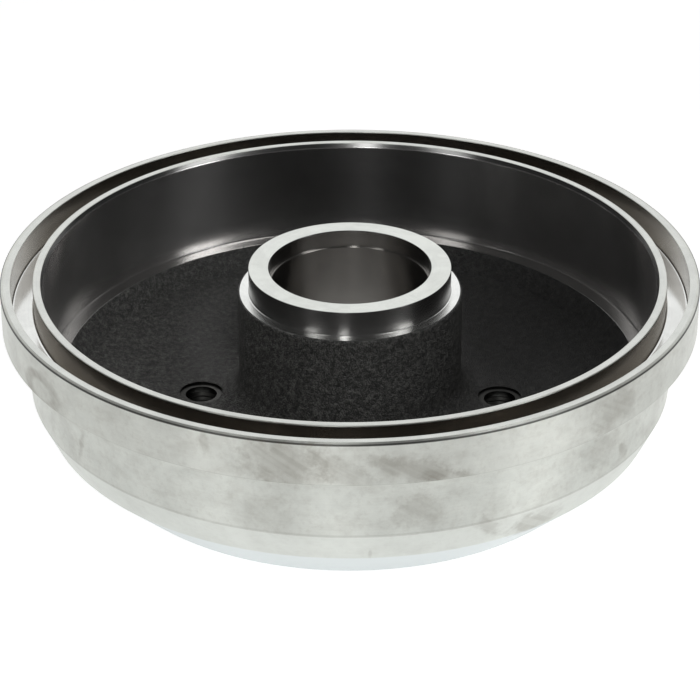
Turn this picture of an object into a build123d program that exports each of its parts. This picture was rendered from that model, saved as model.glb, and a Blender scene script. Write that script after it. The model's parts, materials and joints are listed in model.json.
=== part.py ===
from build123d import *
import os

# Rear brake drum with its bearing hub cast in: one grey-iron casting, turned on the braking
# bore, rim, outside, hub spigot and bearing bore, and drilled and tapped for the wheel bolts.
# +Z is the drum's axis, from the wheel side to the open side; z = 0 is the end of the register.

# Braking bore
braking_diameter = 200.0
braking_depth = 34.8            # from the rim down to the turned floor ring
lead_in_height = 1.5
lead_in_step = 0.85
bore_corner = 0.6               # bevel at the foot of the braking bore

# Rim: an inner and an outer ring, with the groove for the backplate's edge between them
inner_ring_width = 3.35
groove_width = 7.15
groove_depth = 9.8
outer_ring_width = 3.4
groove_lip_bevel = 0.4          # on the inner ring's edge at the groove
rim_bevel_width = 1.1           # the shallow bevel round the rim's outer edge
rim_bevel_height = 0.42
flange_bevel = 0.45             # on the flange's lower edge

# Outside
groove_floor = 4.5              # metal left under the groove, down to the flange's lower edge
barrel_wall = 5.6
barrel_overlap = 2.1            # how far the barrel runs past the foot of the braking bore
barrel_root = 1.2
taper_height = 10.9
taper_step = 5.1                # drop in radius along the taper
cone_step = 16.5                # drop in radius from the taper's foot to the wheel face
face_edge = 0.6

# Web
web_thickness = 16.0            # at the bolt circle
floor_ring_width = 5.0          # turned ring at the foot of the braking bore
step_depth = 6.6                # cast step inside that ring
step_run = 5.0
step_foot_bevel = 2.0
dish_depth = 5.6                # drop from the step's foot to the level middle
dish_width = 29.0
dish_round = 25.0

# Bearing bore, from the open side, and the hub round it
bearing_diameter = 52.0
bearing_length = 38.0
entry_step = 0.65               # the entry is wider than the bearing seat by this radius
entry_depth = 6.0
bearing_shoulder = 3.5
bore_bevel = 0.3
spigot_wall = 6.55
spigot_length = 8.35
spigot_root = 0.5
spigot_bevel = 0.3
hub_rise = 1.05                 # how far the spigot stands above the rim
hub_shoulder = 3.7              # width of the turned ledge round the spigot
hub_edge = 0.7
hub_foot_height = 4.0           # cast foot that spreads on to the web
hub_foot_run = 7.0
hub_foot_round = 9.5

# Wheel side
register_diameter = 56.5
register_height = 5.0
register_bevel = 1.0
register_wall = 4.25            # round the recess for the grease cap
cap_depth = 8.0
relief_width = 2.5
relief_depth = 0.6

# Wheel bolt holes, M12 x 1.5
bolt_circle = 100.0
bolt_count = 4
tap_drill_diameter = 10.5
spotface_diameter = 14.5
spotface_depth = 0.7            # below the level middle of the web
wheel_side_bevel = 1.0

# Heights and radii that follow
cut_margin = 1.0                # how far a cutting body runs past the face it opens
wheel_face = register_height
web_top = wheel_face + web_thickness
step_foot = web_top + dish_depth
floor_ring = step_foot + step_depth
rim = floor_ring + braking_depth
hub_top = rim + hub_rise
spigot_foot = hub_top - spigot_length
barrel_foot = floor_ring - barrel_overlap
flange_foot = rim - groove_depth - groove_floor
entry_foot = hub_top - entry_depth
bearing_foot = entry_foot - bearing_length
braking_radius = braking_diameter / 2
groove_inner_radius = braking_radius + inner_ring_width
groove_outer_radius = groove_inner_radius + groove_width
rim_radius = groove_outer_radius + outer_ring_width
barrel_radius = braking_radius + barrel_wall
taper_foot_radius = barrel_radius - taper_step
face_radius = taper_foot_radius - cone_step
step_radius = braking_radius - floor_ring_width
step_foot_radius = step_radius - step_run
bearing_radius = bearing_diameter / 2
entry_radius = bearing_radius + entry_step
spigot_radius = entry_radius + spigot_wall
hub_radius = spigot_radius + hub_shoulder
register_radius = register_diameter / 2


def turned(corners, rounds=(), bevels=()):
    # A closed half section of (radius, height) corners, turned once about the drum's axis.
    # rounds and bevels hold (corner, size) pairs.
    section = make_face(Plane.XZ * Polyline(*corners, close=True))
    for treatment, treated in ((fillet, rounds), (chamfer, bevels)):
        for (radius, height), size in treated:
            place = Vector(radius, 0, height)
            vertex = section.vertices().sort_by(lambda v: (Vector(v) - place).length)[0]
            section = treatment(vertex, size)
    return revolve(section, Axis.Z)


def outer_form():
    # The outside: wheel face, cone, taper, barrel and flange, solid to the axis.
    face = (face_radius, wheel_face)
    taper_foot = (taper_foot_radius, barrel_foot - taper_height)
    taper_head = (barrel_radius, barrel_foot)
    flange_root = (barrel_radius, flange_foot)
    flange_edge = (rim_radius, flange_foot)
    rim_side = (rim_radius, rim - rim_bevel_height)
    rim_edge = (rim_radius - rim_bevel_width, rim)
    corners = [(0, wheel_face), face, taper_foot, taper_head]
    corners += [flange_root, flange_edge, rim_side, rim_edge, (0, rim)]
    return turned(
        corners,
        bevels=[(face, face_edge), (flange_root, barrel_root), (flange_edge, flange_bevel)],
    )


def drum_cavity():
    # The space for the shoes: lead-in, braking bore, turned floor ring, cast step and dished web.
    top = rim + cut_margin
    lead_in_radius = braking_radius + lead_in_step
    flat_edge = (step_foot_radius - dish_width, web_top)
    step_low = (step_foot_radius, step_foot)
    step_high = (step_radius, floor_ring)
    bore_foot = (braking_radius, floor_ring)
    corners = [(0, web_top), flat_edge, step_low, step_high, bore_foot]
    corners += [(braking_radius, rim - lead_in_height), (lead_in_radius, rim)]
    corners += [(lead_in_radius, top), (0, top)]
    return turned(
        corners,
        rounds=[(flat_edge, dish_round)],
        bevels=[(step_low, step_foot_bevel), (bore_foot, bore_corner)],
    )


def rim_groove():
    # The groove that the backplate's edge runs in, bevelled at the inner ring's edge.
    foot = rim - groove_depth
    top = rim + cut_margin
    lip_radius = groove_inner_radius - groove_lip_bevel
    corners = [(groove_inner_radius, foot), (groove_outer_radius, foot), (groove_outer_radius, top)]
    corners += [(lip_radius, top), (lip_radius, rim), (groove_inner_radius, rim - groove_lip_bevel)]
    return turned(corners)


def register_relief():
    # The shallow turned groove that lets the wheel seat flat round the register.
    outer_radius = register_radius + relief_width
    foot = wheel_face - cut_margin
    top = wheel_face + relief_depth
    corners = [(register_radius, foot), (outer_radius, foot), (outer_radius, top), (register_radius, top)]
    return turned(corners)


def hub():
    # Cast hub with its spreading foot on the web, and the turned spigot on top of it.
    sunk = web_top - web_thickness / 2
    foot_radius = hub_radius + hub_foot_run
    foot_head = (hub_radius, web_top + hub_foot_height)
    ledge_edge = (hub_radius, spigot_foot)
    ledge_root = (spigot_radius, spigot_foot)
    spigot_edge = (spigot_radius, hub_top)
    corners = [(0, sunk), (foot_radius, sunk), (foot_radius, web_top), foot_head]
    corners += [ledge_edge, ledge_root, spigot_edge, (0, hub_top)]
    return turned(
        corners,
        rounds=[(foot_head, hub_foot_round)],
        bevels=[(ledge_edge, hub_edge), (ledge_root, spigot_root), (spigot_edge, spigot_bevel)],
    )


def wheel_register():
    # The collar that centres the wheel, on the outside of the web.
    edge = (register_radius, 0)
    inside = wheel_face + web_thickness / 2
    corners = [(0, 0), edge, (register_radius, inside), (0, inside)]
    return turned(corners, bevels=[(edge, register_bevel)])


def bearing_bore():
    # Entry, bearing seat, shoulder and the recess for the grease cap, as one stepped bore.
    shoulder_radius = bearing_radius - bearing_shoulder
    cap_radius = register_radius - register_wall
    corners = [
        (0, -cut_margin),
        (cap_radius, -cut_margin),
        (cap_radius, cap_depth),
        (shoulder_radius, cap_depth),
        (shoulder_radius, bearing_foot),
        (bearing_radius, bearing_foot),
        (bearing_radius, entry_foot),
        (entry_radius, entry_foot),
        (entry_radius, hub_top - bore_bevel),
        (entry_radius + bore_bevel, hub_top),
        (entry_radius + bore_bevel, hub_top + cut_margin),
        (0, hub_top + cut_margin),
    ]
    return turned(corners)


def bolt_hole():
    # One tapped hole at its drill size, spot-faced inside and bevelled on the wheel side.
    drill = tap_drill_diameter / 2
    spotface = spotface_diameter / 2
    seat = web_top - spotface_depth
    top = web_top + hub_foot_height
    corners = [
        (0, wheel_face - cut_margin),
        (drill + wheel_side_bevel, wheel_face - cut_margin),
        (drill + wheel_side_bevel, wheel_face),
        (drill, wheel_face + wheel_side_bevel),
        (drill, seat),
        (spotface, seat),
        (spotface, top),
        (0, top),
    ]
    return turned(corners)


def brake_drum():
    casting = outer_form() - drum_cavity() - rim_groove() - register_relief()
    casting += hub() + wheel_register()
    bolt_places = PolarLocations(bolt_circle / 2, bolt_count)
    return casting - bearing_bore() - bolt_places * bolt_hole()


os.makedirs("parts", exist_ok=True)
export_step(brake_drum(), "parts/brake_drum.step")
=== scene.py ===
import json
import math
import bmesh
import bpy
from mathutils import Matrix, Vector


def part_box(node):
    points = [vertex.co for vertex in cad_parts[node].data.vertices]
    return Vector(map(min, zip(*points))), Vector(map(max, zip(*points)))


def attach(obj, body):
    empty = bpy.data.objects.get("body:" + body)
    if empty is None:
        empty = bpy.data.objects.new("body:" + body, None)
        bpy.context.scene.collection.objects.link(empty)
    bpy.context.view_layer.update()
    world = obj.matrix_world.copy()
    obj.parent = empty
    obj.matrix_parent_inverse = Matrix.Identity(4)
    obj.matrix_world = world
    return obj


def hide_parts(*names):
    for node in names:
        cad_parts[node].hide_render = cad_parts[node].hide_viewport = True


print("loading the frame")
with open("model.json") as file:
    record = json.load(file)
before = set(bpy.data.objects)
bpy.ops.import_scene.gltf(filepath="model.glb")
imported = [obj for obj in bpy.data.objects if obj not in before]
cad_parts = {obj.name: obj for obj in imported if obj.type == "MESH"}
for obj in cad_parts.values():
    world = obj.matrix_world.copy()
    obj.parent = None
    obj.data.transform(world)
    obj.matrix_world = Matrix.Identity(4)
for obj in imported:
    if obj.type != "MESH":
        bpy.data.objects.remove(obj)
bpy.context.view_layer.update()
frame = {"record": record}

# sizes that come from the frame, in mm as every size below is unless it says otherwise
mm = 0.001
mounts = {mount["name"]: mount for mount in frame["record"]["mounts"]}
lowCorner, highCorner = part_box("brake_drum")
flangeRadius = min(highCorner.x, highCorner.y, -lowCorner.x, -lowCorner.y) / mm
hubTop = highCorner.z / mm
bearingRadius = mounts["bearing_bore"]["dims"]["r_mm"]
boltCircle = mounts["wheel_bolts"]["dims"]["pcd_mm"]
boltCount = mounts["wheel_bolts"]["dims"]["count"]
drillRadius = mounts["wheel_bolts"]["dims"]["hole_r_mm"]
registerRadius = mounts["wheel_register"]["dims"]["r_mm"]
wheelFace = mounts["wheel_face"]["pos_m"][2] / mm


# nodes

def feed(tree, target, value):
    if isinstance(value, bpy.types.NodeSocket):
        tree.links.new(value, target)
    elif value is not None:
        target.default_value = value


def calc(tree, operation, a, b=None):
    node = tree.nodes.new("ShaderNodeMath")
    node.operation = operation
    feed(tree, node.inputs[0], a)
    feed(tree, node.inputs[1], b)
    return node.outputs[0]


def add(tree, a, b):
    return calc(tree, "ADD", a, b)


def times(tree, a, b):
    return calc(tree, "MULTIPLY", a, b)


def gapTo(tree, value, middle):
    return calc(tree, "ABSOLUTE", calc(tree, "SUBTRACT", value, middle))


def ramp(tree, value, ends, out=(0.0, 1.0)):
    # a smooth step: from out[0] at ends[0] to out[1] at ends[1]
    node = tree.nodes.new("ShaderNodeMapRange")
    node.interpolation_type = "SMOOTHSTEP"
    feed(tree, node.inputs["Value"], value)
    for name, number in zip(("From Min", "From Max", "To Min", "To Max"), (*ends, *out)):
        node.inputs[name].default_value = number
    return node.outputs["Result"]


def blendColour(tree, share, below, above):
    node = tree.nodes.new("ShaderNodeMix")
    node.data_type = "RGBA"
    feed(tree, node.inputs[0], share)
    feed(tree, node.inputs[6], below)
    feed(tree, node.inputs[7], above)
    return node.outputs[2]


def noise(tree, place, grain, distortion=0.0):
    # grain is the scale, the detail and the roughness of the pattern
    node = tree.nodes.new("ShaderNodeTexNoise")
    tree.links.new(place, node.inputs["Vector"])
    for name, number in zip(("Scale", "Detail", "Roughness", "Distortion"), (*grain, distortion)):
        node.inputs[name].default_value = number
    return node.outputs["Fac"]


def combine(tree, x, y, z):
    node = tree.nodes.new("ShaderNodeCombineXYZ")
    for index, value in enumerate((x, y, z)):
        feed(tree, node.inputs[index], value)
    return node.outputs[0]


def split(tree, vector):
    node = tree.nodes.new("ShaderNodeSeparateXYZ")
    tree.links.new(vector, node.inputs[0])
    return node.outputs


def length2d(tree, x, y):
    return calc(tree, "SQRT", add(tree, times(tree, x, x), times(tree, y, y)))


def placeInMm(tree):
    texture = tree.nodes.new("ShaderNodeTexCoord")
    inMm = tree.nodes.new("ShaderNodeMapping")
    inMm.inputs["Scale"].default_value = (1 / mm, 1 / mm, 1 / mm)
    tree.links.new(texture.outputs["Object"], inMm.inputs["Vector"])
    return inMm.outputs[0]


def startMaterial(name):
    material = bpy.data.materials.new(name)
    material.use_nodes = True
    return material, material.node_tree, material.node_tree.nodes["Principled BSDF"]


# turned finishes; the zones' colours also carry painted light and shade

turning = {
    "linesPerMm": 1.6,  # along the radius and the height
    "linesPerDegree": 0.01,
    "lineGrain": (1.0, 3.0, 0.6),
    "lineRange": (0.3, 0.7),
    "lineTone": 0.015,
    "roughRange": (0.2, 0.8),
    "lineRoughness": 0.04,
    "patchGrain": (0.09, 5.0, 0.65),
    "patchDistortion": 0.4,
    "patchRange": (0.3, 0.7),
    "patchTone": 0.06,
    "acrossLines": 0.25,  # a quarter turn: reflections spread across the turning lines
}

turnedOutside = {"colour": (0.715, 0.735, 0.69), "roughness": 0.37, "anisotropy": 0.95}

# one turned iron in zones whose colours carry painted light and shade: painted shade on the groove walls, the
# bore, the bolt-hole walls, the spigot wall and the lead-in, painted light on the groove floor and the ledge
turnedFinishesWithPaintedLight = {
    "turnedHub": {"colour": (0.70, 0.72, 0.685), "roughness": 0.16, "anisotropy": 0.5},
    "turnedBrake": {"colour": (0.63, 0.62, 0.615), "roughness": 0.21, "anisotropy": 0.9},
    "grooveWall": {"colour": (0.37, 0.345, 0.315), "roughness": 0.24, "anisotropy": 0.3},
    "turnedBore": {"colour": (0.425, 0.415, 0.40), "roughness": 0.21, "anisotropy": 0.9},
    "holeWall": {"colour": (0.045, 0.045, 0.042), "roughness": 0.4, "anisotropy": 0.3},
    "turnedRim": {"colour": (0.64, 0.655, 0.625), "roughness": 0.18, "anisotropy": 0.7},
    "grooveFloor": {"colour": (0.78, 0.79, 0.77), "roughness": 0.14, "anisotropy": 0.3},
    "floorRing": {"colour": (0.50, 0.49, 0.475), "roughness": 0.24, "anisotropy": 0.8},
    "spigotWall": {"colour": (0.31, 0.305, 0.30), "roughness": 0.26, "anisotropy": 0.95},
    "turnedLedge": {"colour": (0.84, 0.85, 0.83), "roughness": 0.20, "anisotropy": 0.9},
    "turnedLeadIn": {"colour": (0.23, 0.23, 0.225), "roughness": 0.24, "anisotropy": 0.8},
}

# storage grime and thin grease, a tone on the flange, painted shade lines at the flange foot, barrel foot and
# rim edge, painted light on the taper and the cone, then handling marks, laid over each other in this order
outsideDirtAndShade = {
    "film": (0.33, 0.305, 0.265, 1.0),  # thin grease
    "clouds": {"perDegree": 0.17, "perMm": 0.17, "start": 4.7, "grain": (1.0, 5.0, 0.66)},
    "cloudRange": (0.42, 0.76),
    "cloudDepth": 0.25,
    "fleckGrain": (0.45, 4.0, 0.7),
    "fleckRange": (0.45, 0.75),
    "fleckDepth": 0.18,
    "heights": {"rimEdge": 67.45, "flangeFoot": 53.7, "barrelFoot": 31.1, "taperFoot": 20.2},
    "flangeTone": {"fade": (-0.4, 0.1), "share": (0.0, 0.10)},  # fades are from the named height
    # painted shade: a dark line just under the flange foot and the barrel foot
    "cornerLine": {"drop": 0.1, "fade": (0.25, 0.7), "share": (0.22, 0.0), "colour": (0.24, 0.23, 0.21, 1.0)},
    # painted shade: a near-black line along the top edge of the flange, under the rim bevel
    "rimLine": {"fade": (0.15, 0.35), "share": (0.92, 0.0), "colour": (0.06, 0.06, 0.057, 1.0)},
    # painted light: the taper and the cone, which face down towards the white floor, are made lighter and bluer
    "taperTone": {"fade": (-0.8, -0.3), "share": (0.5, 0.0), "colour": (0.76, 0.785, 0.75, 1.0)},
    "coneTone": {"fade": (-0.4, 0.2), "share": (1.0, 0.0), "colour": (0.71, 0.75, 0.75, 1.0)},
    "grease": (0.19, 0.165, 0.13, 1.0),
}

# handling marks on the outside: angle and half width in degrees, height and half height,
# lean in degrees for each mm of height, and depth of tone
smudges = {
    "thumb": (-98.2, 7.5, 60.5, 10.0, 0.0, 0.38),
    "thumbEdge": (-89.5, 3.6, 59.5, 8.0, -0.45, 0.22),
    "wipe": (-79.0, 6.5, 58.5, 5.8, -0.7, 0.34),
    "wipeFoot": (-73.0, 4.0, 54.0, 4.0, -0.5, 0.22),
    "barrelBrown": (-77.0, 4.5, 39.0, 6.5, 0.0, 0.24),
    "barrelGrey": (-101.5, 5.0, 38.0, 8.0, 0.0, 0.18),
    "cupMiddle": (-145.0, 4.5, 57.5, 4.5, 0.0, 0.14),
    "leftTick": (-140.3, 0.8, 40.0, 6.0, 0.15, 0.26),
    "taperStreak": (-64.5, 2.2, 28.5, 5.5, -0.35, 0.30),
    "taperPatch": (-54.0, 6.0, 23.0, 6.5, 0.0, 0.34),
    "rightBrown": (-43.0, 6.0, 61.0, 7.0, 0.0, 0.26),
    "rightBarrel": (-40.0, 6.0, 41.0, 8.0, 0.0, 0.20),
    "rightSpot": (-34.0, 2.0, 36.0, 3.5, 0.0, 0.28),
    "rimTick": (-110.2, 0.9, 64.0, 3.5, 0.0, 0.3),
    "footTick": (-84.6, 0.4, 22.5, 2.2, 0.0, 0.28),
}
cupRing = (-145.0, 5.0, 57.5, 5.0, 0.0, 0.34)

smudgeShape = {
    "fade": (0.35, 1.25),  # from the middle, where the mark's own size is 1
    "raggedGrain": (0.22, 5.0, 0.65),
    "raggedRange": (0.25, 0.75),
    "ragged": 0.35,
    "ringAt": 0.9,
    "ringNarrow": 3.0,
    "strokes": {"lean": 0.8, "perDegree": 0.5, "perMm": 0.02, "grain": (1.0, 1.5, 0.5)},
    "strokeRange": (0.38, 0.62),
    "wiped": (1.15, 0.7),
}


def markShare(tree, angle, height, mark, ragged, ring=False):
    s = smudgeShape
    centre, halfWidth, middle, halfHeight, lean, depth = mark
    up = calc(tree, "SUBTRACT", height, middle)
    along = calc(tree, "SUBTRACT", calc(tree, "SUBTRACT", angle, centre), times(tree, up, lean))
    wide = calc(tree, "DIVIDE", along, halfWidth)
    tall = calc(tree, "DIVIDE", up, halfHeight)
    far = add(tree, length2d(tree, wide, tall), ragged)
    if ring:
        far = calc(tree, "ABSOLUTE", times(tree, calc(tree, "SUBTRACT", far, s["ringAt"]), s["ringNarrow"]))
    return ramp(tree, far, s["fade"], (depth, 0.0))


def greaseShare(tree, place, angle, height):
    s = smudgeShape
    ragged = ramp(tree, noise(tree, place, s["raggedGrain"]), s["raggedRange"], (-s["ragged"], s["ragged"]))
    grease = 0.0
    for mark in smudges.values():
        grease = add(tree, grease, markShare(tree, angle, height, mark, ragged))
    grease = add(tree, grease, markShare(tree, angle, height, cupRing, 0.0, ring=True))
    strokes = s["strokes"]
    slant = times(tree, add(tree, angle, times(tree, height, strokes["lean"])), strokes["perDegree"])
    run = combine(tree, slant, times(tree, height, strokes["perMm"]), 0.0)
    return times(tree, grease, ramp(tree, noise(tree, run, strokes["grain"]), s["strokeRange"], s["wiped"]))


def soilAndShadeOutside(tree, colour, place, angle, height, s):
    clouds, at = s["clouds"], s["heights"]
    drift = combine(tree, times(tree, angle, clouds["perDegree"]), times(tree, height, clouds["perMm"]),
                    clouds["start"])
    cloudy = ramp(tree, noise(tree, drift, clouds["grain"]), s["cloudRange"], (0.0, s["cloudDepth"]))
    colour = blendColour(tree, cloudy, colour, s["film"])
    flecks = ramp(tree, noise(tree, place, s["fleckGrain"]), s["fleckRange"], (0.0, s["fleckDepth"]))
    colour = blendColour(tree, flecks, colour, s["film"])

    def toneFrom(colour, corner, tone, above):
        ends = [at[corner] + offset for offset in tone["fade"]]
        return blendColour(tree, ramp(tree, height, ends, tone["share"]), colour, above)

    def lineAt(colour, middle, line):
        share = ramp(tree, gapTo(tree, height, middle), line["fade"], line["share"])
        return blendColour(tree, share, colour, line["colour"])

    colour = toneFrom(colour, "flangeFoot", s["flangeTone"], s["film"])
    # painted shade: dark lines just under the flange foot and the barrel foot
    for corner in ("flangeFoot", "barrelFoot"):
        colour = lineAt(colour, at[corner] - s["cornerLine"]["drop"], s["cornerLine"])
    # painted shade: a dark line along the top edge of the flange
    colour = lineAt(colour, at["rimEdge"], s["rimLine"])
    # painted light: the taper and the cone are made lighter and bluer
    colour = toneFrom(colour, "barrelFoot", s["taperTone"], s["taperTone"]["colour"])
    colour = toneFrom(colour, "taperFoot", s["coneTone"], s["coneTone"]["colour"])
    return blendColour(tree, greaseShare(tree, place, angle, height), colour, s["grease"])


def turnedIron(name, s, outsideLayers=None):
    material, tree, shader = startMaterial(name)
    place = placeInMm(tree)
    x, y, height = split(tree, place)
    radius = length2d(tree, x, y)
    angle = calc(tree, "DEGREES", calc(tree, "ARCTAN2", y, x))  # about the axis, from +X
    perMm, perDegree = turning["linesPerMm"], turning["linesPerDegree"]
    rings = combine(tree, times(tree, radius, perMm), times(tree, height, perMm), times(tree, angle, perDegree))
    lines = noise(tree, rings, turning["lineGrain"])
    patches = noise(tree, place, turning["patchGrain"], turning["patchDistortion"])
    lineTone = ramp(tree, lines, turning["lineRange"], (-turning["lineTone"], turning["lineTone"]))
    patchTone = ramp(tree, patches, turning["patchRange"], (-turning["patchTone"], turning["patchTone"]))
    shade = tree.nodes.new("ShaderNodeVectorMath")
    shade.operation = "SCALE"
    shade.inputs[0].default_value = s["colour"]
    feed(tree, shade.inputs["Scale"], add(tree, add(tree, lineTone, patchTone), 1.0))
    colour = shade.outputs[0]
    if outsideLayers:
        colour = soilAndShadeOutside(tree, colour, place, angle, height, outsideLayers)
    low, high = (s["roughness"] * (1.0 + sign * turning["lineRoughness"]) for sign in (-1, 1))
    feed(tree, shader.inputs["Base Color"], colour)
    feed(tree, shader.inputs["Roughness"], ramp(tree, lines, turning["roughRange"], (low, high)))
    shader.inputs["Metallic"].default_value = 1.0
    shader.inputs["Anisotropic"].default_value = s["anisotropy"]
    shader.inputs["Anisotropic Rotation"].default_value = turning["acrossLines"]
    tangent = tree.nodes.new("ShaderNodeTangent")
    tangent.direction_type = "RADIAL"
    tangent.axis = "Z"
    tree.links.new(tangent.outputs[0], shader.inputs["Tangent"])
    return material


# the as-cast skin inside

castSkin = {
    "colour": (0.020, 0.020, 0.019, 1.0),
    "colourHigh": (0.215, 0.215, 0.202, 1.0),
    "fine": (2.0, 2.0, 0.6),
    "fineShare": 0.7,
    "coarse": (0.6, 2.0, 0.6),
    "coarseShare": 0.45,
    "grainRange": (0.44, 0.86),
    "roughRange": (0.3, 0.7),
    "roughness": (0.38, 0.6),
    "bump": 0.9,
    "bare": 0.75,  # painted shade: the skin is made darker towards the back right
    "diagonal": 0.7,
    "bareRange": (-50.0, 60.0),  # along the diagonal
    "bareColour": (0.0, 0.0, 0.0, 1.0),
}


def castMaterial(name, s):
    material, tree, shader = startMaterial(name)
    place = placeInMm(tree)
    fine = noise(tree, place, s["fine"])
    coarse = noise(tree, place, s["coarse"])
    grain = add(tree, times(tree, fine, s["fineShare"]), times(tree, coarse, s["coarseShare"]))
    colour = blendColour(tree, ramp(tree, grain, s["grainRange"]), s["colour"], s["colourHigh"])
    x, y = split(tree, place)[:2]
    # painted shade: the skin darkens towards the back right, along the diagonal
    across = times(tree, add(tree, x, y), s["diagonal"])
    colour = blendColour(tree, ramp(tree, across, s["bareRange"], (0.0, s["bare"])), colour, s["bareColour"])
    bump = tree.nodes.new("ShaderNodeBump")
    bump.inputs["Distance"].default_value = s["bump"] * mm
    tree.links.new(grain, bump.inputs["Height"])
    feed(tree, shader.inputs["Base Color"], colour)
    feed(tree, shader.inputs["Roughness"], ramp(tree, fine, s["roughRange"], s["roughness"]))
    feed(tree, shader.inputs["Normal"], bump.outputs[0])
    return material


# the drum

drumShape = {
    "segments": 384,
    "rim": 68.0,
    "brakingRadius": 100.0,
    "leadIn": (0.85, 1.5),  # radius, height
    "innerRing": 3.35,
    "groove": (7.15, 9.8),  # width, depth
    "rimBevel": (1.1, 0.42),  # radius, height
    "flange": 14.3,
    "barrel": (105.6, 31.1),  # radius, lower end
    "taperFoot": (100.5, 20.2),
    "faceRadius": 84.0,
    "floorRing": (95.0, 33.2),
    "stepFoot": (90.0, 26.6),
    "web": (61.0, 21.0),
    "spigot": (33.2, 60.7),
    "hubRadius": 36.9,
    "hubFoot": (43.9, 9.5, 25.0),  # outer radius, round, corner height
    "entry": (26.65, 6.0),
    "seatLength": 38.0,
    "shoulder": 3.5,
    "capRecess": (24.0, 8.0),
    "relief": (2.5, 0.6),
    "skinSteps": {"hub": 26, "hubFoot": 10, "footEdge": 3, "web": 13, "dish": 22, "step": 6},
    "lump": (0.35, 3.2),  # height, size of the cast lumps
    "lumpEdge": {"web": 0.1, "ledge": 0.8, "hub": 0.1, "floorRing": 0.5},
    "smoothAngle": 40.0,  # degrees
}


def stretch(start, end, steps):
    # points between two corners, the first corner left out
    return [tuple(a + (b - a) * i / steps for a, b in zip(start, end)) for i in range(1, steps + 1)]


def rimGroove(s):
    # inner radius, outer radius and floor of the groove between the two rims
    inner = s["brakingRadius"] + s["innerRing"]
    return inner, inner + s["groove"][0], s["rim"] - s["groove"][1]


def hubFootArc(s, steps):
    footRadius, roundSize, cornerHeight = s["hubFoot"]
    run, drop = footRadius - s["hubRadius"], cornerHeight - s["web"][1]
    sweep = math.atan2(run, drop)
    tangent = roundSize * math.tan(sweep / 2)
    centre = (s["hubRadius"] + roundSize, cornerHeight + tangent)
    turns = [sweep * i / steps for i in range(steps + 1)]
    return [(centre[0] - roundSize * math.cos(t), centre[1] - roundSize * math.sin(t)) for t in turns]


def drumOutline(s):
    # the closed half section as (radius, height), from the mouth of the bearing bore outwards
    rim, braking = s["rim"], s["brakingRadius"]
    grooveIn, grooveOut, grooveFoot = rimGroove(s)
    hub, spigot, ledge = s["hubRadius"], s["spigot"][0], s["spigot"][1]
    flangeFoot = rim - s["flange"]
    entryRadius, entryDepth = s["entry"]
    bearingFoot = hubTop - entryDepth - s["seatLength"]
    steps = s["skinSteps"]
    foot = hubFootArc(s, steps["hubFoot"])
    webEdge = (s["hubFoot"][0], s["web"][1])
    points = [(entryRadius, hubTop), (spigot, hubTop), (spigot, ledge), (hub, ledge)]
    points += stretch((hub, ledge), foot[0], steps["hub"]) + foot[1:]
    points += stretch(foot[-1], webEdge, steps["footEdge"])
    points += stretch(webEdge, s["web"], steps["web"]) + stretch(s["web"], s["stepFoot"], steps["dish"])
    points += stretch(s["stepFoot"], s["floorRing"], steps["step"])
    points += [(braking, s["floorRing"][1]), (braking, rim - s["leadIn"][1]), (braking + s["leadIn"][0], rim)]
    points += [(grooveIn, rim), (grooveIn, grooveFoot), (grooveOut, grooveFoot), (grooveOut, rim)]
    points += [(flangeRadius - s["rimBevel"][0], rim), (flangeRadius, rim - s["rimBevel"][1])]
    points += [(flangeRadius, flangeFoot), (s["barrel"][0], flangeFoot)]
    points += [s["barrel"], s["taperFoot"], (s["faceRadius"], wheelFace)]
    reliefRadius = registerRadius + s["relief"][0]
    reliefTop = wheelFace + s["relief"][1]
    points += [(reliefRadius, wheelFace), (reliefRadius, reliefTop)]
    points += [(registerRadius, reliefTop), (registerRadius, 0.0)]
    capRadius, capDepth = s["capRecess"]
    shoulderRadius = bearingRadius - s["shoulder"]
    points += [(capRadius, 0.0), (capRadius, capDepth), (shoulderRadius, capDepth)]
    points += [(shoulderRadius, bearingFoot), (bearingRadius, bearingFoot)]
    points += [(bearingRadius, hubTop - entryDepth), (entryRadius, hubTop - entryDepth)]
    return points


def edgeRounds(s):
    # corner radius, corner height, how far the rounding reaches
    rim, braking = s["rim"], s["brakingRadius"]
    grooveIn, grooveOut, grooveFoot = rimGroove(s)
    flangeFoot = rim - s["flange"]
    floorRing = s["floorRing"][1]
    return [
        (s["entry"][0], hubTop, 0.35),
        (s["spigot"][0], hubTop, 0.35),
        (s["spigot"][0], s["spigot"][1], 0.5),
        (s["hubRadius"], s["spigot"][1], 0.7),
        (s["floorRing"][0], floorRing, 0.4),
        (braking, floorRing, 0.7),
        (braking, rim - s["leadIn"][1], 0.3),
        (braking + s["leadIn"][0], rim, 0.12),
        (grooveIn, rim, 0.4),
        (grooveIn, grooveFoot, 0.8),
        (grooveOut, grooveFoot, 0.8),
        (grooveOut, rim, 0.25),
        (flangeRadius - s["rimBevel"][0], rim, 0.1),
        (flangeRadius, rim - s["rimBevel"][1], 0.1),
        (flangeRadius, flangeFoot, 0.4),
        (s["barrel"][0], flangeFoot, 1.2),
        (s["barrel"][0], s["barrel"][1], 0.35),
        (s["taperFoot"][0], s["taperFoot"][1], 0.5),
        (s["faceRadius"], wheelFace, 0.6),
        (registerRadius, 0.0, 1.0),
        (s["entry"][0], hubTop - s["entry"][1], 0.15),
    ]


def startPiece(name, radius, height, segments, place=(0.0, 0.0)):
    # a ring of edges, left selected in edit mode
    bpy.ops.object.select_all(action="DESELECT")
    where = (place[0] * mm, place[1] * mm, height * mm)
    bpy.ops.mesh.primitive_circle_add(vertices=segments, radius=radius * mm, location=where)
    piece = bpy.context.object
    piece.name = name
    bpy.ops.object.transform_apply(location=True, rotation=True, scale=True)
    bpy.ops.object.mode_set(mode="EDIT")
    bpy.ops.mesh.select_mode(type="EDGE")
    bpy.ops.mesh.select_all(action="SELECT")
    return piece


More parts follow.
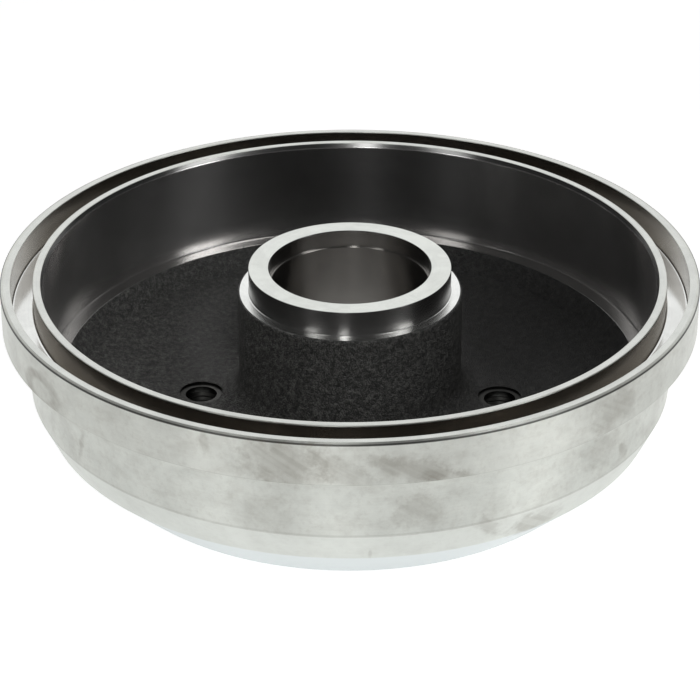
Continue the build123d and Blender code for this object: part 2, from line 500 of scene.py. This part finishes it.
def extrudeRing(outline, place=(0.0, 0.0)):
    # the selected ring of edges is extruded, lifted and scaled from corner to corner
    centre = (place[0] * mm, place[1] * mm, 0.0)
    for (fromRadius, fromHeight), (toRadius, toHeight) in zip(outline, outline[1:]):
        lift = {"value": (0.0, 0.0, (toHeight - fromHeight) * mm)}
        bpy.ops.mesh.extrude_edges_move(TRANSFORM_OT_translate=lift)
        if not math.isclose(toRadius, fromRadius):
            grow = toRadius / fromRadius
            bpy.ops.transform.resize(value=(grow, grow, 1.0), center_override=centre)


def selectRings(piece, corners):
    # whole rings of edges at (radius, height) corners
    bpy.ops.mesh.select_all(action="DESELECT")
    form = bmesh.from_edit_mesh(piece.data)
    reach = 0.02 * mm

    def near(vertex, corner):
        return abs(vertex.co.xy.length - corner[0] * mm) < reach and abs(vertex.co.z - corner[1] * mm) < reach

    for edge in form.edges:
        if any(all(near(vertex, corner) for vertex in edge.verts) for corner in corners):
            edge.select = True
    form.select_flush(True)
    bmesh.update_edit_mesh(piece.data)


def makeDrum(s):
    outline = drumOutline(s)
    piece = startPiece("drumFinished", *outline[0], s["segments"])
    extrudeRing(outline)
    selectRings(piece, [outline[0], outline[-1]])
    bpy.ops.mesh.bridge_edge_loops()
    bpy.ops.mesh.select_all(action="SELECT")
    bpy.ops.mesh.normals_make_consistent(inside=False)
    for radius, height, run in edgeRounds(s):
        selectRings(piece, [(radius, height)])
        bpy.ops.mesh.bevel(offset=run * mm, segments=2, profile=0.5, clamp_overlap=False)
    bpy.ops.object.mode_set(mode="OBJECT")
    return piece


def roughenCasting(piece, s):
    # lumps of the as-cast skin, inside the turned floor ring and below the turned ledge
    skin = piece.vertex_groups.new(name="castSkin")
    edge = s["lumpEdge"]
    low, high = s["web"][1] - edge["web"], s["spigot"][1] - edge["ledge"]
    inner, outer = s["hubRadius"] - edge["hub"], s["floorRing"][0] - edge["floorRing"]
    for vertex in piece.data.vertices:
        radius, height = vertex.co.xy.length / mm, vertex.co.z / mm
        if inner < radius < outer and low < height < high:
            skin.add([vertex.index], 1.0, "REPLACE")
    lumpHeight, lumpSize = s["lump"]
    lumps = bpy.data.textures.new("castLumps", "CLOUDS")
    lumps.noise_scale = lumpSize * mm
    lumps.noise_depth = 2
    displace = piece.modifiers.new("castLumps", "DISPLACE")
    displace.texture = lumps
    displace.texture_coords = "LOCAL"
    displace.vertex_group = "castSkin"
    displace.strength = lumpHeight * mm
    displace.mid_level = 0.5
    bpy.ops.object.modifier_apply(modifier=displace.name)


boltHole = {
    "segments": 64,
    "spotface": (7.25, 0.7),  # radius, depth
    "wheelSideBevel": 1.0,
    "thread": (1.75, 0.55),  # pitch, depth
    "plain": (0.4, 0.3),  # unthreaded at the foot and at the top
    "over": (1.0, 6.0),  # how far the cutter stands out below and above
}


def boltPlaces():
    radius, step = boltCircle / 2, 2 * math.pi / boltCount
    return [(radius * math.cos(step * i), radius * math.sin(step * i)) for i in range(boltCount)]


def cutterOutline(s, web):
    seat = web - s["spotface"][1]
    bevel = s["wheelSideBevel"]
    wide = drillRadius + bevel
    pitch, depth = s["thread"]
    points = [(wide, wheelFace - s["over"][0]), (wide, wheelFace), (drillRadius, wheelFace + bevel)]
    foot = wheelFace + bevel + s["plain"][0]
    while foot + pitch < seat - s["plain"][1]:
        points += [(drillRadius, foot), (drillRadius + depth, foot + pitch / 2)]
        foot += pitch
    points += [(drillRadius, foot), (drillRadius, seat)]
    return points + [(s["spotface"][0], seat), (s["spotface"][0], web + s["over"][1])]


def makeBoltCutter(s, place, web):
    outline = cutterOutline(s, web)
    cutter = startPiece("boltCutter", *outline[0], s["segments"], place)
    bpy.ops.mesh.edge_face_add()
    extrudeRing(outline, place)
    bpy.ops.mesh.edge_face_add()
    bpy.ops.mesh.select_all(action="SELECT")
    bpy.ops.mesh.normals_make_consistent(inside=False)
    bpy.ops.object.mode_set(mode="OBJECT")
    return cutter


def cutBoltHoles(piece, s, web):
    for place in boltPlaces():
        cutter = makeBoltCutter(s, place, web)
        bpy.ops.object.select_all(action="DESELECT")
        piece.select_set(True)
        bpy.context.view_layer.objects.active = piece
        hole = piece.modifiers.new("boltHole", "BOOLEAN")
        hole.operation = "DIFFERENCE"
        hole.solver = "EXACT"
        hole.object = cutter
        bpy.ops.object.modifier_apply(modifier=hole.name)
        bpy.data.objects.remove(cutter)


# how far from its corner each finish starts or ends
margins = {
    "bore": 0.05,
    "spotface": (0.02, 0.05),  # radius, height
    "skin": (0.1, 0.6, 0.5),  # outer radius, foot, top
    "spigot": (0.1, 0.5),  # outer radius, foot
    "hubTop": 0.2,
    "spigotWall": 0.2,
    "castLedge": 0.6,  # the ledge's outer edge takes the dark cast skin
    "brake": 0.3,
    "leadIn": 0.05,
    "groove": (0.05, 0.1, 0.2),  # radius, foot, top
    "rimTop": 0.6,
    "level": (0.9, 0.97),  # upward normal of the groove's floor and of the rim tops
}


def finishOf(face, s, places):
    radius, height, upward = face.center.xy.length / mm, face.center.z / mm, face.normal.z
    toBolt = min((face.center.xy / mm - place).length for place in places)
    rim, braking, web = s["rim"], s["brakingRadius"], s["web"][1]
    ringOuter, ringTop = s["floorRing"]
    spigot, ledge = s["spigot"]
    grooveIn, grooveOut, grooveFoot = rimGroove(s)
    m = margins
    if radius < s["entry"][0] + m["bore"]:
        return "turnedBore"
    if toBolt < boltHole["spotface"][0] + m["spotface"][0] and height < web - m["spotface"][1]:
        return "holeWall"
    if radius < ringOuter - m["skin"][0] and web - m["skin"][1] < height < ledge - m["skin"][2]:
        return "castSkin"
    if radius < s["hubRadius"] + m["spigot"][0] and height > ledge - m["spigot"][1]:
        if radius > s["hubRadius"] - m["castLedge"]:
            return "castSkin"
        if height > hubTop - m["hubTop"]:
            return "turnedHub"
        return "spigotWall" if radius < spigot + m["spigotWall"] else "turnedLedge"
    if radius < braking + m["brake"] and height > ringTop - m["brake"]:
        return "floorRing" if height < ringTop + m["brake"] else "turnedBrake"
    if radius < braking + s["leadIn"][0] - m["leadIn"] and height > rim - s["leadIn"][1]:
        return "turnedLeadIn"
    inGroove = grooveIn - m["groove"][0] < radius < grooveOut + m["groove"][0]
    if inGroove and grooveFoot - m["groove"][1] < height < rim - m["groove"][2]:
        return "grooveFloor" if upward > m["level"][0] else "grooveWall"
    if radius > braking and height > rim - m["rimTop"] and upward > m["level"][1]:
        return "turnedRim"
    return "turnedOutside"


def paintDrum(piece, s):
    finishes = {
        "turnedOutside": turnedIron("turnedOutside", turnedOutside, outsideDirtAndShade),
        "castSkin": castMaterial("castSkin", castSkin),
    }
    for name, finish in turnedFinishesWithPaintedLight.items():
        finishes[name] = turnedIron(name, finish)
    piece.data.materials.clear()
    for finish in finishes.values():
        piece.data.materials.append(finish)
    slots = {name: index for index, name in enumerate(finishes)}
    places = [Vector(place) for place in boltPlaces()]
    for face in piece.data.polygons:
        face.material_index = slots[finishOf(face, s, places)]


print("drum")
drum = makeDrum(drumShape)
roughenCasting(drum, drumShape)
print("bolt holes")
cutBoltHoles(drum, boltHole, drumShape["web"][1])
bpy.ops.object.shade_smooth_by_angle(angle=math.radians(drumShape["smoothAngle"]))
weighted = drum.modifiers.new("weightedNormal", "WEIGHTED_NORMAL")
weighted.keep_sharp = True
bpy.ops.object.modifier_apply(modifier=weighted.name)
print("finishes")
paintDrum(drum, drumShape)
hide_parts("brake_drum")
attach(drum, "root")
print("drum faces", len(drum.data.polygons))


# floor and light

studio = {
    "floorSize": 6.0,  # m
    "floorDrop": 0.0002,  # m
    "floorColour": (0.6, 0.6, 0.6, 1.0),
    "floorRoughness": 0.9,
    "floorWhite": 0.76,
    "room": 0.062,  # light from the room in front and overhead
    "backdropSide": (0.55, 0.9),  # the white backdrop curves up behind
    "backdropTop": (0.62, 0.92),
}

# azimuth and elevation in degrees, distance in m, size in m, power in W
softBoxes = {
    "leftBox": (-131.0, 42.0, 1.2, (0.24, 1.15), 1.8),
    "frontStrip": (-95.0, 48.0, 1.2, (0.14, 0.9), 2.2),
    "rightBox": (-25.0, 42.0, 1.2, (0.34, 1.15), 4.2),
}


def seenRays(tree):
    rays = tree.nodes.new("ShaderNodeLightPath")
    seen = calc(tree, "MAXIMUM", rays.outputs["Is Camera Ray"], rays.outputs["Is Glossy Ray"])
    return calc(tree, "MAXIMUM", seen, rays.outputs["Is Transmission Ray"])


def floorMaterial(s):
    # white to the camera and in reflections, and it keeps the drum's shadow
    material, tree, shader = startMaterial("paleFloor")
    shader.inputs["Base Color"].default_value = s["floorColour"]
    shader.inputs["Roughness"].default_value = s["floorRoughness"]
    shader.inputs["Emission Color"].default_value = (1.0, 1.0, 1.0, 1.0)
    feed(tree, shader.inputs["Emission Strength"], times(tree, seenRays(tree), s["floorWhite"]))
    return material


def makeFloor(s):
    bpy.ops.object.select_all(action="DESELECT")
    bpy.ops.mesh.primitive_plane_add(size=s["floorSize"], location=(0.0, 0.0, -s["floorDrop"]))
    floor = bpy.context.object
    floor.name = "floor"
    floor.data.materials.append(floorMaterial(s))


def makeWorld(s):
    # a dim room with a white backdrop behind the drum
    world = bpy.data.worlds.new("studio")
    bpy.context.scene.world = world
    world.use_nodes = True
    tree = world.node_tree
    x, y, z = split(tree, tree.nodes.new("ShaderNodeTexCoord").outputs["Generated"])
    behind = ramp(tree, calc(tree, "DIVIDE", y, length2d(tree, x, y)), s["backdropSide"])
    backdrop = times(tree, behind, ramp(tree, z, s["backdropTop"], (1.0, 0.0)))
    background = tree.nodes["Background"]
    background.inputs["Color"].default_value = (1.0, 1.0, 1.0, 1.0)
    feed(tree, background.inputs["Strength"], add(tree, times(tree, backdrop, 1.0 - s["room"]), s["room"]))


def softBox(name, azimuth, elevation, distance, size, power):
    lamp = bpy.data.lights.new(name, "AREA")
    lamp.shape = "RECTANGLE"
    lamp.size, lamp.size_y = size
    lamp.energy = power
    box = bpy.data.objects.new(name, lamp)
    bpy.context.scene.collection.objects.link(box)
    a, e = math.radians(azimuth), math.radians(elevation)
    away = Vector((math.cos(a) * math.cos(e), math.sin(a) * math.cos(e), math.sin(e)))
    box.location = away * distance
    box.rotation_euler = away.to_track_quat("Z", "Y").to_euler()


print("floor and light")
makeFloor(studio)
makeWorld(studio)
for name, setting in softBoxes.items():
    softBox(name, *setting)


# camera

viewpoint = {
    "distance": 811.6,  # from the axis, along the floor
    "height": 474.5,
    "azimuth": -87.95,  # degrees
    "aimHeight": 37.9,
    "roll": -0.131,  # degrees
    "lens": 142.7,
    "sensor": 36.0,
    "clip": (0.05, 20.0),  # m
}


def makeCamera(s):
    lens = bpy.data.cameras.new("camera")
    lens.lens = s["lens"]
    lens.sensor_width = s["sensor"]
    lens.clip_start, lens.clip_end = s["clip"]
    camera = bpy.data.objects.new("camera", lens)
    bpy.context.scene.collection.objects.link(camera)
    bearing = math.radians(s["azimuth"])
    stand = Vector((math.cos(bearing) * s["distance"], math.sin(bearing) * s["distance"], s["height"])) * mm
    aim = Vector((0.0, 0.0, s["aimHeight"] * mm))
    roll = Matrix.Rotation(math.radians(s["roll"]), 3, "Z")
    camera.location = stand
    camera.rotation_euler = ((stand - aim).to_track_quat("Z", "Y").to_matrix() @ roll).to_euler()
    return camera


print("camera")
bpy.context.scene.camera = makeCamera(viewpoint)
bpy.context.scene.view_settings.view_transform = "Standard"
